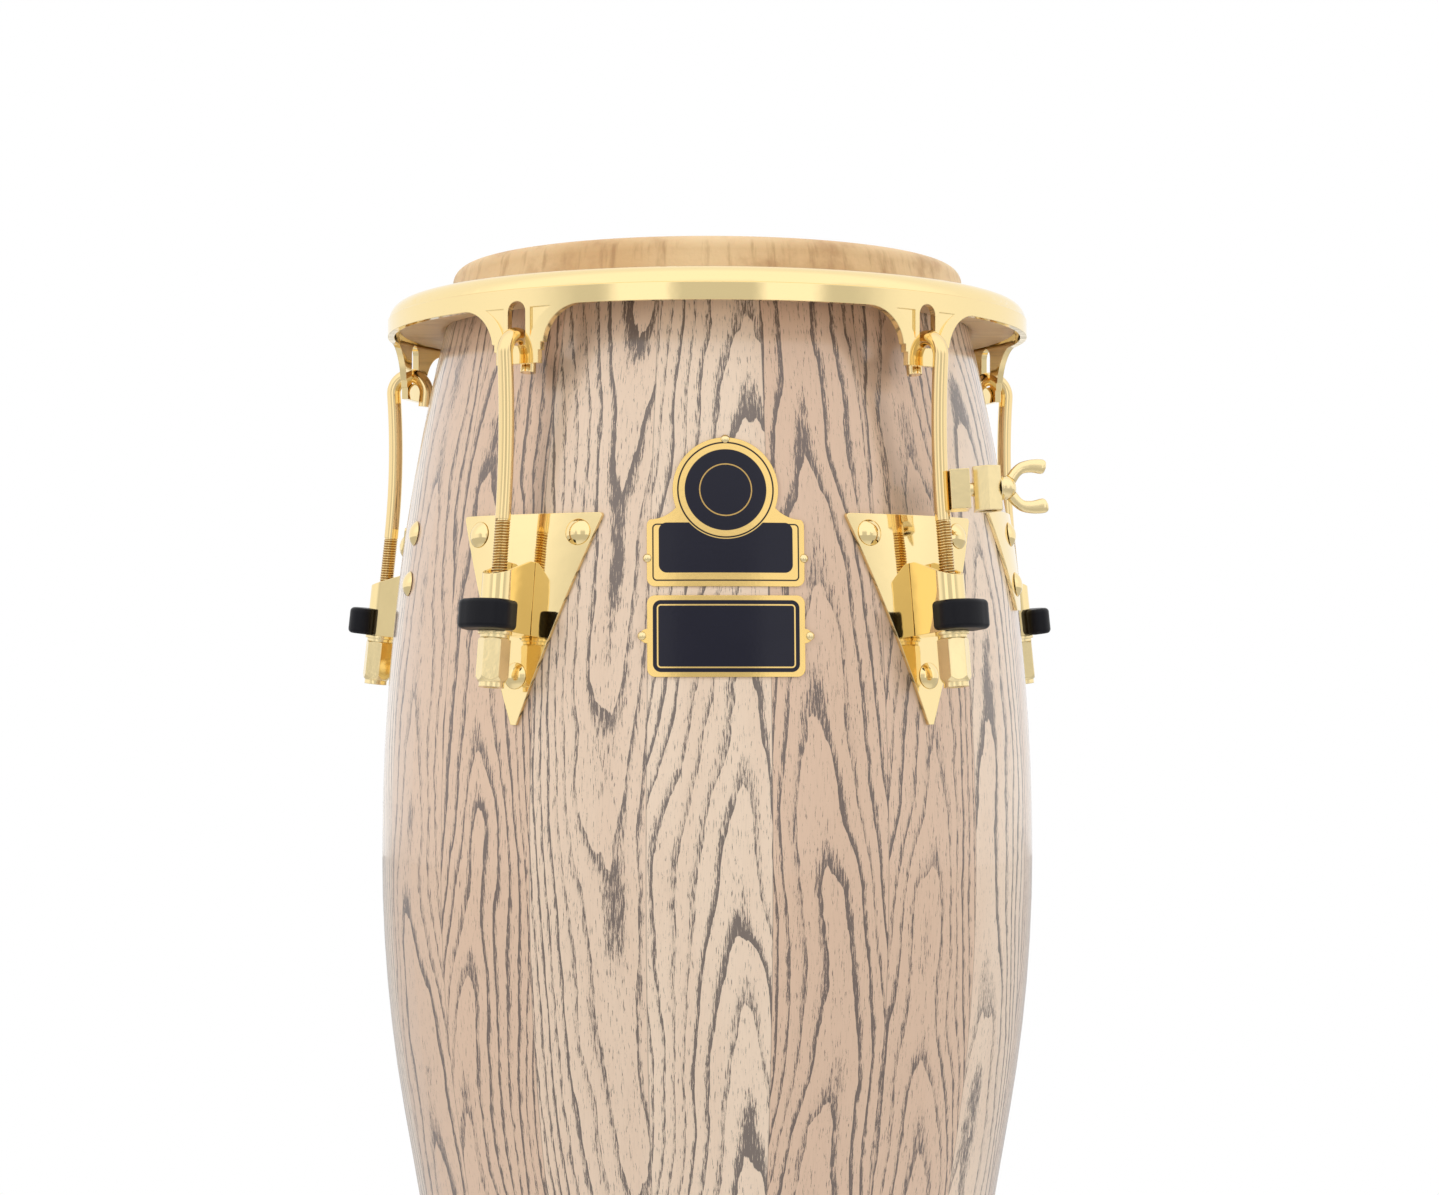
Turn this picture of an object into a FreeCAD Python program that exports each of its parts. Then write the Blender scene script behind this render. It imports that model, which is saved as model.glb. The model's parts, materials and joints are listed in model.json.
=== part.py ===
"""A stave-built conga drum: barrel shell, rawhide head, tension ring with five hook rods, lugs and badges.

Frame: origin at the centre of the foot on the floor, +Z up, the badges face -Y (azimuth 0).
Azimuths grow towards +X. Every body is drawn with +X outward from the drum's axis, +Y along its
girth and +Z up, and is then turned to its own azimuth.
"""

import FreeCAD, Part
import math
import os
import re

import Sketcher
from FreeCAD import Placement, Rotation, Vector

# ---------------------------------------------------------------- driving dimensions, millimetres and degrees

DIMENSIONS = {
    # shell
    "shell_top": 759.6,
    "belly_radius": 180.0,
    "belly_height": 440.0,
    "top_radius": 137.2,
    "lower_curve": 820.0,
    "cone_top": 300.0,
    "shell_wall": 13.0,
    "edge_round": 6.0,
    "edge_bevel": 5.0,
    # foot and inner hoops
    "foot_thickness": 5.0,
    "foot_lip": 2.5,
    "foot_lip_height": 16.0,
    "hoop_thickness": 7.0,
    "hoop_width": 32.0,
    "hoop_inset": 12.0,
    # head
    "head_thickness": 2.2,
    "skin_gap": 0.1,
    "collar_bottom": 728.0,
    # tension ring
    "rim_radius": 177.0,
    "rim_thickness": 3.6,
    "rim_top": 741.6,
    "rim_web": 3.0,
    "rim_inner": 147.8,
    "crease_height": 733.0,
    "crease_step": 0.7,
    "shoulder": 9.0,
    "skirt_bottom": 723.8,
    "ear_drop": 28.8,
    "ear_half_width": 13.0,
    "ear_step": 1.4,
    "arch_width": 22.2,
    "arch_radius": 21.0,
    "slot_width": 11.0,
    "slot_top": 726.6,
    "bridge_height": 9.3,
    "recess_floor": 1.4,
    # flesh hoop and the tucked tail of the head
    "flesh_hoop_radius": 4.0,
    "tuck_thickness": 2.0,
    "tuck_inner": 148.9,
    "tuck_width": 21.6,
    # lug plates
    "plate_thickness": 2.0,
    "seat_gap": 0.05,
    "plate_top": 620.0,
    "plate_tip": 513.5,
    "plate_half_width": 43.5,
    "plate_tip_half": 1.6,
    "plate_corner": 1.6,
    "bolt_spread": 30.6,
    "upper_bolt_height": 610.0,
    "lower_bolt_height": 538.0,
    # bolts through the shell
    "bolt_head": 13.5,
    "bolt_dome": 3.0,
    "bolt_shank": 6.3,
    "bolt_clearance": 0.1,
    "sheet_hole_clearance": 0.6,
    "washer_width": 19.0,
    "washer_thickness": 1.5,
    "washer_gap": 0.4,
    "bolt_nut_width": 11.1,
    "bolt_nut_height": 5.5,
    "bolt_nut_gap": 0.02,
    # cradle and rubber protector
    "lug_height": 578.0,
    "rod_standoff": 18.3,
    "cradle_width": 16.4,
    "cradle_sheet": 1.8,
    "cradle_below": 20.0,
    "cradle_rise": 17.2,
    "cradle_front_rise": 7.4,
    "shelf_thickness": 2.0,
    "shelf_hole": 9.0,
    "protector_height": 14.8,
    "protector_half_width": 14.8,
    "protector_front": 16.8,
    "protector_back": 2.5,
    # washer, tuning nut and hook rod
    "collar_height": 3.5,
    "collar_radius": 8.5,
    "nut_width": 14.3,
    "nut_length": 24.5,
    "nut_nose": 3.0,
    "nut_nose_radius": 6.4,
    "nut_bore": 8.0,
    "rod_diameter": 7.94,
    "thread_diameter": 7.2,
    "thread_rise": 36.3,
    "thread_end": 46.0,
    "hook_bend": 10.0,
    "hook_overhang": 3.1,
    "hook_seat": 0.4,
    "hook_leg": 7.0,
    # accessory clamp
    "clamp_rise": 15.0,
    "clamp_swing": 50.8,
    "clamp_clearance": 0.18,
    "jaw_height": 20.0,
    "jaw_reach": 14.0,
    "jaw_depth": 8.2,
    "stub_diameter": 7.0,
    "stub_length": 2.25,
    "barrel_width": 13.8,
    "barrel_height": 22.5,
    "barrel_bore": 9.7,
    "screw_diameter": 6.0,
    "screw_clearance": 0.05,
    "wing_collar": 12.5,
    "wing_collar_length": 6.0,
    "wing_spread": 26.5,
    "wing_length": 18.0,
    "wing_thickness": 3.4,
    # side bracket
    "side_azimuth": 72.0,
    "bracket_bottom": 573.0,
    "bracket_top": 626.0,
    "bracket_half_top": 38.0,
    "bracket_half_bottom": 6.0,
    "side_bolt_upper": 614.0,
    "side_bolt_lower": 587.0,
    # badges
    "badge_thickness": 0.9,
    "badge_half_width": 39.2,
    "badge_corner": 4.0,
    "upper_badge_bottom": 582.6,
    "upper_badge_shoulder": 34.0,
    "badge_circle_rise": 48.2,
    "badge_circle_radius": 26.3,
    "lower_badge_bottom": 537.8,
    "lower_badge_top": 578.2,
    "badge_ear": 3.6,
    "badge_screw_head": 4.4,
    "badge_screw_dome": 1.1,
    "badge_screw_shank": 2.0,
    "badge_screw_length": 9.0,
}

LUGS = 5
FIRST_LUG_AZIMUTH = -36.0
CLAMPED_LUG = 2
STAVES = 18
FIRST_STAVE_AZIMUTH = 7.2

doc = FreeCAD.newDocument("conga")
sizes = doc.addObject("Spreadsheet::Sheet", "sizes")
for row, (alias, number) in enumerate(DIMENSIONS.items(), 1):
    sizes.set(f"A{row}", alias)
    sizes.set(f"B{row}", str(number))
    sizes.setAlias(f"B{row}", alias)
doc.recompute()

ALIAS = re.compile(r"\b(" + "|".join(sorted(DIMENSIONS, key=len, reverse=True)) + r")\b")


def bound(text):
    """The expression with every alias written as a reference to the sheet."""
    return ALIAS.sub(r"sizes.\1", text)


def value(text):
    """The number that an expression has now."""
    result = sizes.evalExpression(bound(text))
    return float(getattr(result, "Value", result))


# ---------------------------------------------------------------- the shell's curves, as expressions

RISE = "(shell_top - belly_height)"
INSET = "(belly_radius - top_radius)"
UPPER_CURVE = f"(({RISE}^2 + {INSET}^2) / (2 * {INSET}))"
DROP = "(belly_height - cone_top)"
CONE_RUN = f"sqrt(lower_curve^2 - {DROP}^2)"


def above(height, offset="0"):
    """Radius of the shell's outer surface, moved outward by offset, at a height above the belly."""
    return (
        f"(belly_radius - {UPPER_CURVE}"
        f" + sqrt(({UPPER_CURVE} + ({offset}))^2 - (({height}) - belly_height)^2))"
    )


def below(height, offset="0"):
    """The same on the straight cone under the belly's lower curve."""
    slope = f"({DROP} / {CONE_RUN})"
    tangent = f"(belly_radius - lower_curve + {CONE_RUN})"
    return f"({tangent} + (({height}) - cone_top) * {slope} + ({offset}) * sqrt(1 + {slope}^2))"


def lean(height):
    """Angle of the shell's outward normal above the horizontal."""
    return f"asin((({height}) - belly_height) / {UPPER_CURVE})"


# ---------------------------------------------------------------- placements


def around(azimuth):
    """Turns +X to the given azimuth, where azimuth 0 is -Y."""
    return Placement(Vector(0, 0, 0), Rotation(Vector(0, 0, 1), azimuth - 90))


def tilt(angle):
    return Placement(Vector(0, 0, 0), Rotation(Vector(0, 1, 0), angle))


def shift(x, y, z):
    return Placement(Vector(x, y, z), Rotation())


def on_shell(azimuth, height):
    """A frame on the shell's outer surface whose +Z is the outward normal."""
    seat = shift(value(above(height)), 0, value(height))
    return around(azimuth) * seat * tilt(90 - value(lean(height)))


LUG_LEAN = lean("lug_height")
ROD_RUN = f"({UPPER_CURVE} + seat_gap + plate_thickness + rod_standoff)"
ROD_RADIUS = f"(belly_radius - {UPPER_CURVE} + {ROD_RUN} * cos({LUG_LEAN}))"
ROD_HEIGHT = f"(belly_height + {ROD_RUN} * sin({LUG_LEAN}))"


def lug_azimuth(lug):
    return FIRST_LUG_AZIMUTH + (lug - 1) * 360 / LUGS


def lug_frame(lug):
    """Origin on the rod's axis beside the cradle, +Z up the rod, +X away from the plate."""
    seat = shift(value(ROD_RADIUS), 0, value(ROD_HEIGHT))
    return around(lug_azimuth(lug)) * seat * tilt(-value(LUG_LEAN))


# ---------------------------------------------------------------- bodies, sketches and features


def new_body(name, placement=Placement()):
    body = doc.addObject("PartDesign::Body", name)
    body.Label = name
    body.Placement = placement
    return body


def new_sketch(body, name, plane, offset="0"):
    sketch = body.newObject("Sketcher::SketchObject", f"{body.Name}_{name}")
    origin = [item for item in body.Origin.OriginFeatures if item.Role == plane][0]
    sketch.AttachmentSupport = [(origin, "")]
    sketch.MapMode = "FlatFace"
    sketch.setExpression("AttachmentOffset.Base.z", bound(offset))
    return sketch


def arc_between(start, end, radius, side):
    """The shorter arc from start to end whose centre is on the given side of the way."""
    chord = end - start
    half = chord.Length / 2
    reach = math.sqrt(max(radius**2 - half**2, 0.0))
    normal = Vector(-chord.y, chord.x, 0).normalize()
    centre = (start + end) / 2 + normal * (reach if side == "left" else -reach)
    first, last = (start, end) if side == "left" else (end, start)
    angles = [math.atan2(point.y - centre.y, point.x - centre.x) for point in (first, last)]
    return Part.ArcOfCircle(Part.Circle(centre, Vector(0, 0, 1), radius), *angles)


def draw(sketch, corners, closed=True):
    """Lines and arcs through the corners. A corner is (x, y), or (x, y, radius, side) after an arc."""
    points = [Vector(value(corner[0]), value(corner[1]), 0) for corner in corners]
    count = len(corners)
    ends = []
    for index in range(count if closed else count - 1):
        following = (index + 1) % count
        arc = corners[following][2:]
        if arc:
            radius, side = arc
            curve = arc_between(points[index], points[following], value(radius), side)
            start, end = (1, 2) if side == "left" else (2, 1)
        else:
            curve = Part.LineSegment(points[index], points[following])
            start, end = 1, 2
        line = sketch.addGeometry(curve)
        ends.append((line, start, end))
        if arc:
            number = sketch.addConstraint(Sketcher.Constraint("Radius", line, value(radius)))
            sketch.setExpression(f"Constraints[{number}]", bound(radius))
    for index in range(len(ends) if closed else len(ends) - 1):
        line, _, end = ends[index]
        following, start, _ = ends[(index + 1) % len(ends)]
        sketch.addConstraint(Sketcher.Constraint("Coincident", line, end, following, start))
    for index, corner in enumerate(corners):
        line, start, end = ends[min(index, len(ends) - 1)]
        vertex = start if index < len(ends) else end
        for kind, text, number in (
            ("DistanceX", corner[0], points[index].x),
            ("DistanceY", corner[1], points[index].y),
        ):
            place = sketch.addConstraint(Sketcher.Constraint(kind, -1, 1, line, vertex, number))
            sketch.setExpression(f"Constraints[{place}]", bound(text))
    return sketch


def draw_circle(sketch, x, y, diameter):
    centre = Vector(value(x), value(y), 0)
    ring = sketch.addGeometry(Part.Circle(centre, Vector(0, 0, 1), value(diameter) / 2))
    for kind, text, number in (("DistanceX", x, centre.x), ("DistanceY", y, centre.y)):
        place = sketch.addConstraint(Sketcher.Constraint(kind, -1, 1, ring, 3, number))
        sketch.setExpression(f"Constraints[{place}]", bound(text))
    size = sketch.addConstraint(Sketcher.Constraint("Diameter", ring, value(diameter)))
    sketch.setExpression(f"Constraints[{size}]", bound(diameter))
    return sketch


def mirrored(corners):
    """The same closed outline on the other side of the sketch's upright axis."""
    count = len(corners)
    order = [0, *range(count - 1, 0, -1)]
    return [(f"-({corners[j][0]})", corners[j][1], *corners[(j + 1) % count][2:]) for j in order]


def outline(body, name, plane, corners, offset="0"):
    return draw(new_sketch(body, name, plane, offset), corners)


def circle(body, name, plane, diameter, x="0", y="0", offset="0"):
    return draw_circle(new_sketch(body, name, plane, offset), x, y, diameter)


def pad(body, sketch, length, second=None, symmetric=False):
    feature = body.newObject("PartDesign::Pad", f"{sketch.Name}_pad")
    feature.Profile = sketch
    feature.setExpression("Length", bound(length))
    if symmetric:
        feature.SideType = "Symmetric"
    if second is not None:
        feature.SideType = "Two sides"
        feature.setExpression("Length2", bound(second))
    return feature


def pocket(body, sketch, length, along=False, symmetric=False):
    """Cuts against the sketch's normal, or along it, and must take something away."""
    doc.recompute()
    before = body.Shape.Volume
    feature = body.newObject("PartDesign::Pocket", f"{sketch.Name}_pocket")
    feature.Profile = sketch
    feature.setExpression("Length", bound(length))
    feature.Reversed = along
    if symmetric:
        feature.SideType = "Symmetric"
    doc.recompute()
    if body.Shape.Volume > before - 1e-6:
        raise RuntimeError(f"{feature.Name} cuts nothing")
    return feature


def revolve(body, sketch, angle="360"):
    """Turns the sketch about +Z; a part turn is centred on the sketch's own plane."""
    feature = body.newObject("PartDesign::Revolution", f"{sketch.Name}_turn")
    feature.Profile = sketch
    feature.ReferenceAxis = (sketch, ["V_Axis"])
    feature.setExpression("Angle", bound(angle))
    feature.Midplane = angle != "360"
    return feature


def groove(body, sketch):
    """Turns a cut all the way round +Z, and must take something away."""
    doc.recompute()
    before = body.Shape.Volume
    feature = body.newObject("PartDesign::Groove", f"{sketch.Name}_groove")
    feature.Profile = sketch
    feature.ReferenceAxis = (sketch, ["V_Axis"])
    feature.Angle = 360
    doc.recompute()
    if body.Shape.Volume > before - 1e-6:
        raise RuntimeError(f"{feature.Name} cuts nothing")
    return feature


def around_axis(body, features, count):
    pattern = body.newObject("PartDesign::PolarPattern", f"{body.Name}_around")
    axis = [item for item in body.Origin.OriginFeatures if item.Role == "Z_Axis"][0]
    pattern.Originals = features
    pattern.Axis = (axis, [""])
    pattern.Angle = 360
    pattern.Occurrences = count
    body.Tip = pattern
    return pattern


def fillet(body, feature, radius, chosen):
    """Rounds the feature's edges for which chosen(edge) is true."""
    doc.recompute()
    edges = enumerate(feature.Shape.Edges, 1)
    names = [f"Edge{number}" for number, edge in edges if chosen(edge)]
    if not names:
        raise RuntimeError(f"{feature.Name} has no such edge to round")
    rounding = body.newObject("PartDesign::Fillet", f"{feature.Name}_fillet")
    rounding.Base = (feature, names)
    rounding.setExpression("Radius", bound(radius))
    return rounding


def group(name, body, placements):
    """One node of separate, identical solids: the body's shape at each placement."""
    doc.recompute()
    copies = [body.Shape.copy() for _ in placements]
    for copy, placement in zip(copies, placements):
        copy.Placement = placement.multiply(body.Shape.Placement)
    feature = doc.addObject("Part::Feature", name)
    feature.Shape = Part.makeCompound(copies)
    feature.Label = name
    feature.Placement = Placement()
    return feature


def minus(name, base, tool):
    cut = doc.addObject("Part::Cut", name)
    cut.Base = base
    cut.Tool = tool
    cut.Label = name
    return cut


nodes = []

# ---------------------------------------------------------------- where fasteners pass through the shell


def lug_stud_frames():
    spread = value(f"asin(bolt_spread / {above('upper_bolt_height')})")
    frames = []
    for lug in range(1, LUGS + 1):
        azimuth = lug_azimuth(lug)
        frames += [
            on_shell(azimuth - spread, "upper_bolt_height"),
            on_shell(azimuth + spread, "upper_bolt_height"),
            on_shell(azimuth, "lower_bolt_height"),
        ]
    return frames


def side_stud_frames():
    side = value("side_azimuth")
    heights = ("side_bolt_upper", "side_bolt_lower")
    return [on_shell(azimuth, height) for azimuth in (side, -side) for height in heights]


UPPER_BADGE_TOP = "(upper_badge_bottom + badge_circle_rise + badge_circle_radius)"
LOWER_BADGE_MIDDLE = "((lower_badge_bottom + lower_badge_top) / 2)"
UPPER_BADGE_SCREWS = "(upper_badge_bottom + 14)"


def badge_screw_frames():
    """Three screws at the upper badge's edges and one on each ear of the lower badge."""
    ear = f"asin((badge_half_width + badge_ear - 1.2) / {above(LOWER_BADGE_MIDDLE)})"
    edge = f"asin((badge_half_width - 0.4) / {above(UPPER_BADGE_SCREWS)})"
    frames = [on_shell(0, f"({UPPER_BADGE_TOP} - 0.9)")]
    for sign in (-1, 1):
        frames.append(on_shell(sign * value(edge), UPPER_BADGE_SCREWS))
        frames.append(on_shell(sign * value(ear), LOWER_BADGE_MIDDLE))
    return frames


# ---------------------------------------------------------------- shell

THETA = f"asin({DROP} / lower_curve)"
INNER_TANGENT_Z = f"(belly_height - (lower_curve - shell_wall) * sin({THETA}))"
INNER_TANGENT_R = f"(belly_radius - lower_curve + (lower_curve - shell_wall) * cos({THETA}))"
EDGE_Z = "(shell_top - edge_round)"
EDGE_R = above(EDGE_Z)


def build_stave():
    """One stave: the wall's section, turned through its share of the circle."""
    stave = new_body("stave")
    bevel_z = "(shell_top - edge_bevel)"
    section = [
        (below("foot_thickness"), "foot_thickness"),
        (below("cone_top"), "cone_top"),
        ("belly_radius", "belly_height", "lower_curve", "left"),
        (EDGE_R, EDGE_Z, UPPER_CURVE, "left"),
        (f"{EDGE_R} - edge_round", "shell_top", "edge_round", "left"),
        (above(bevel_z, "-shell_wall"), bevel_z),
        ("belly_radius - shell_wall", "belly_height", f"{UPPER_CURVE} - shell_wall", "right"),
        (INNER_TANGENT_R, INNER_TANGENT_Z, "lower_curve - shell_wall", "right"),
        (below("foot_thickness", "-shell_wall"), "foot_thickness"),
    ]
    revolve(stave, outline(stave, "section", "XZ_Plane", section), f"{360 / STAVES}")
    return stave


def through_holes(name, diameter, depth, frames):
    drill = new_body(name)
    pad(drill, circle(drill, "section", "XY_Plane", diameter), depth, depth)
    return group(f"{name}s", drill, frames)


def screw_holes(name):
    """Holes for the badges' screws, through the badge and into the wood."""
    bore = "badge_screw_shank + 2 * bolt_clearance"
    return through_holes(name, bore, "badge_screw_length", badge_screw_frames())


def build_shell():
    azimuths = [FIRST_STAVE_AZIMUTH + index * 360 / STAVES for index in range(STAVES)]
    staves = group("stave_ring", build_stave(), [around(azimuth) for azimuth in azimuths])
    bolt_holes = through_holes(
        "bolt_hole", "bolt_shank + 2 * bolt_clearance", "3 * shell_wall",
        lug_stud_frames() + side_stud_frames(),
    )
    bored = minus("bored_staves", staves, bolt_holes)
    nodes.append(minus("shell_staves", bored, screw_holes("shell_screw_hole")))


def build_inner_hoops():
    """Bent wooden hoops glued inside the shell under the bearing edge and above the foot."""
    top = new_body("top_reinforcing_hoop")
    high = "(shell_top - edge_bevel - hoop_inset)"
    low = f"({high} - hoop_width)"
    skin = "-(shell_wall + seat_gap)"
    back = "-(shell_wall + seat_gap + hoop_thickness)"
    section = [
        (above(low, skin), low),
        (above(high, skin), high, f"{UPPER_CURVE} + ({skin})", "left"),
        (above(high, back), high),
        (above(low, back), low, f"{UPPER_CURVE} + ({back})", "right"),
    ]
    revolve(top, outline(top, "section", "XZ_Plane", section))
    bottom = new_body("bottom_reinforcing_hoop")
    low = "(foot_thickness + hoop_inset)"
    high = f"({low} + hoop_width)"
    section = [
        (below(low, skin), low),
        (below(high, skin), high),
        (below(high, back), high),
        (below(low, back), low),
    ]
    revolve(bottom, outline(bottom, "section", "XZ_Plane", section))
    nodes.extend([top, bottom])


def build_foot():
    """A rubber boot under the staves, with a lip up their outside."""
    foot = new_body("rubber_foot")
    lip = "foot_lip + seat_gap"
    top = "(foot_thickness + foot_lip_height)"
    section = [
        (below("foot_thickness", "-shell_wall"), "0"),
        (below("0", lip), "0"),
        (below(top, lip), top),
        (below(top, "seat_gap"), top),
        (below("foot_thickness", "seat_gap"), "foot_thickness"),
        (below("foot_thickness", "-shell_wall"), "foot_thickness"),
    ]
    revolve(foot, outline(foot, "section", "XZ_Plane", section))
    nodes.append(foot)


# ---------------------------------------------------------------- head


def build_head():
    """The rawhide: flat across the bearing edge, rounded over it and drawn down the outside."""
    head = new_body("drum_head")
    outer = "(skin_gap + head_thickness)"
    section = [
        ("0", "shell_top + skin_gap"),
        (f"{EDGE_R} - edge_round", "shell_top + skin_gap"),
        (f"{EDGE_R} + skin_gap", EDGE_Z, "edge_round + skin_gap", "right"),
        (above("collar_bottom", "skin_gap"), "collar_bottom", f"{UPPER_CURVE} + skin_gap", "right"),
        (above("collar_bottom", outer), "collar_bottom"),
        (f"{EDGE_R} + {outer}", EDGE_Z, f"{UPPER_CURVE} + {outer}", "left"),
        (f"{EDGE_R} - edge_round", f"shell_top + {outer}", f"edge_round + {outer}", "left"),
        ("0", f"shell_top + {outer}"),
    ]
    revolve(head, outline(head, "section", "XZ_Plane", section))
    nodes.append(head)


WEB_UNDER = "(rim_top - rim_web - 1.1)"
HOOP_HEIGHT = f"({WEB_UNDER} - flesh_hoop_radius - 0.35)"
TUCK_TOP = f"({HOOP_HEIGHT} - flesh_hoop_radius - seat_gap)"


def build_flesh_hoop():
    """The steel ring that the head is lapped round, and the head's tucked tail under it."""
    hoop = new_body("flesh_hoop")
    centre = "tuck_inner + tuck_thickness + flesh_hoop_radius + seat_gap"
    ring = circle(hoop, "section", "XZ_Plane", "2 * flesh_hoop_radius", centre, HOOP_HEIGHT)
    revolve(hoop, ring)
    tuck = new_body("head_tuck")
    low = f"({TUCK_TOP} - tuck_thickness)"
    section = [
        ("tuck_inner + tuck_thickness", low, "tuck_thickness", "left"),
        ("tuck_inner + tuck_width", low),
        ("tuck_inner + tuck_width", TUCK_TOP),
        ("tuck_inner + tuck_thickness", TUCK_TOP),
        ("tuck_inner + tuck_thickness", f"{HOOP_HEIGHT} + 2.5"),
        ("tuck_inner", f"{HOOP_HEIGHT} + 2.5"),
        ("tuck_inner", TUCK_TOP),
    ]
    revolve(tuck, outline(tuck, "section", "XZ_Plane", section))
    nodes.extend([hoop, tuck])


# ---------------------------------------------------------------- tension ring

EAR_BOTTOM = "(skirt_bottom - ear_drop)"
BRIDGE_TOP = f"({EAR_BOTTOM} + bridge_height)"
INNER_SKIRT = "(rim_radius - rim_thickness)"


def build_rim():
    """Rolled rim: sloping web, round shoulder and skirt, with an ear left at each lug."""
    rim = new_body("rim", around(lug_azimuth(1)))
    section = [
        (INNER_SKIRT, EAR_BOTTOM),
        ("rim_radius", EAR_BOTTOM),
        ("rim_radius", "crease_height - 0.4"),
        ("rim_radius - crease_step", "crease_height"),
        ("rim_radius - shoulder", "rim_top", "shoulder", "left"),
        ("rim_inner + 0.8", "rim_top - 1.1"),
        ("rim_inner + 0.8", WEB_UNDER, "0.6 * rim_web", "left"),
        (f"{INNER_SKIRT} - 0.8 * shoulder", WEB_UNDER),
        (INNER_SKIRT, "crease_height - 2", "0.85 * shoulder", "right"),
    ]
    revolve(rim, outline(rim, "section", "XZ_Plane", section))
    foot = f"({EAR_BOTTOM} - 5)"
    step_height = f"({EAR_BOTTOM} + 10.5)"
    far = f"(rim_radius * sin({180 / LUGS}) + 2)"
    arch = [
        ("ear_half_width", foot),
        (far, foot),
        (far, "skirt_bottom"),
        ("ear_half_width + 2 * ear_step + arch_width", "skirt_bottom"),
        ("ear_half_width + 2 * ear_step", step_height, "arch_radius", "left"),
        ("ear_half_width + ear_step", step_height),
        ("ear_half_width + ear_step", f"{step_height} - 4"),
        ("ear_half_width", f"{step_height} - 4"),
    ]
    half = "(slot_width / 2)"
    slot = [
        (f"-{half}", BRIDGE_TOP),
        (half, BRIDGE_TOP),
        (half, f"slot_top - {half}"),
        ("0", "slot_top", half, "left"),
        (f"-{half}", f"slot_top - {half}", half, "left"),
    ]
    side = f"({half} + 2.8)"
    high = "(skirt_bottom - 0.6)"
    recess = [
        (side, f"{BRIDGE_TOP} + 4"),
        (f"{side} + 12", high, "24", "right"),
        (side, high),
    ]
    through = "rim_radius + 10"
    cuts = [
        pocket(rim, outline(rim, "right_arch", "YZ_Plane", arch), through, along=True),
        pocket(rim, outline(rim, "left_arch", "YZ_Plane", mirrored(arch)), through, along=True),
        pocket(rim, outline(rim, "slot", "YZ_Plane", slot), through, along=True),
    ]
    floor = "rim_radius - recess_floor"
    for name, corners in (("right_recess", recess), ("left_recess", mirrored(recess))):
        cuts.append(pocket(rim, outline(rim, name, "YZ_Plane", corners, floor), "10", along=True))
    around_axis(rim, cuts, LUGS)
    nodes.append(rim)


HOOK_CLEAR = "(hook_bend - rod_diameter / 2)"
HOOK_CENTRE_R = f"({INNER_SKIRT} + hook_overhang)"
HOOK_CENTRE_Z = f"({BRIDGE_TOP} + hook_seat - sqrt({HOOK_CLEAR}^2 - hook_overhang^2))"


HOOK_OUTWARD = f"({HOOK_CENTRE_R} - {ROD_RADIUS})"
HOOK_UPWARD = f"({HOOK_CENTRE_Z} - {ROD_HEIGHT})"
HOOK_X = f"({HOOK_OUTWARD} * cos({LUG_LEAN}) + {HOOK_UPWARD} * sin({LUG_LEAN}))"
HOOK_Z = f"({HOOK_UPWARD} * cos({LUG_LEAN}) - {HOOK_OUTWARD} * sin({LUG_LEAN}))"
BOW_CLIMB = f"({HOOK_Z} - thread_rise)"
BOW = f"(({HOOK_X}^2 + {BOW_CLIMB}^2 - hook_bend^2) / (2 * (hook_bend + {HOOK_X})))"


def build_rod(lug):
    """J-hook rod: straight rolled thread, a long bow and the hook over the ear's bridge."""
    rod = new_body(f"hook_rod_{lug}", lug_frame(lug))
    pad(rod, circle(rod, "thread", "XY_Plane", "thread_diameter"), "thread_rise", "thread_end")
    shank = circle(rod, "shank", "XY_Plane", "rod_diameter", offset="thread_rise")
    share = f"({BOW} / ({BOW} + hook_bend))"
    bow_end = (f"{BOW} + ({HOOK_X} - {BOW}) * {share}", f"thread_rise + {BOW_CLIMB} * {share}")
    way = [
        ("0", "thread_rise"),
        (*bow_end, BOW, "right"),
        (HOOK_X, f"{HOOK_Z} + hook_bend", "hook_bend", "left"),
        (f"{HOOK_X} - hook_bend", HOOK_Z, "hook_bend", "left"),
        (f"{HOOK_X} - hook_bend", f"{HOOK_Z} - hook_leg"),
    ]
    route = draw(new_sketch(rod, "way", "XZ_Plane"), way, closed=False)
    pipe = rod.newObject("PartDesign::AdditivePipe", f"{rod.Name}_pipe")
    pipe.Profile = shank
    pipe.Spine = (route, [f"Edge{number}" for number in range(1, len(way))])
    nodes.append(rod)


# ---------------------------------------------------------------- lug plates and their fasteners

PLATE_IN = "seat_gap"
PLATE_OUT = "(seat_gap + plate_thickness)"


def curved_sheet(body, low, high, inner, outer, half_width):
    """A sheet lying on the shell between two heights, turned about the drum's axis."""
    section = [
        (above(low, inner), low),
        (above(low, outer), low),
        (above(high, outer), high, f"{UPPER_CURVE} + {outer}", "left"),
        (above(high, inner), high),
    ]
    section[0] = (*section[0], f"{UPPER_CURVE} + {inner}", "right")
    sheet = outline(body, "sheet", "XZ_Plane", section)
    return revolve(body, sheet, f"2.4 * asin(({half_width}) / {above(high)})")


def trim(body, corners, half_width, low, high):
    """Keeps the part of the sheet inside the outline, looking along the drum's radius."""
    frame = [
        (f"-({half_width}) - 30", f"({low}) - 30"),
        (f"({half_width}) + 30", f"({low}) - 30"),
        (f"({half_width}) + 30", f"({high}) + 30"),
        (f"-({half_width}) - 30", f"({high}) + 30"),
    ]
    sketch = draw(new_sketch(body, "trim", "YZ_Plane"), frame)
    draw(sketch, corners)
    return pocket(body, sketch, "2 * belly_radius", along=True)


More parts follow.
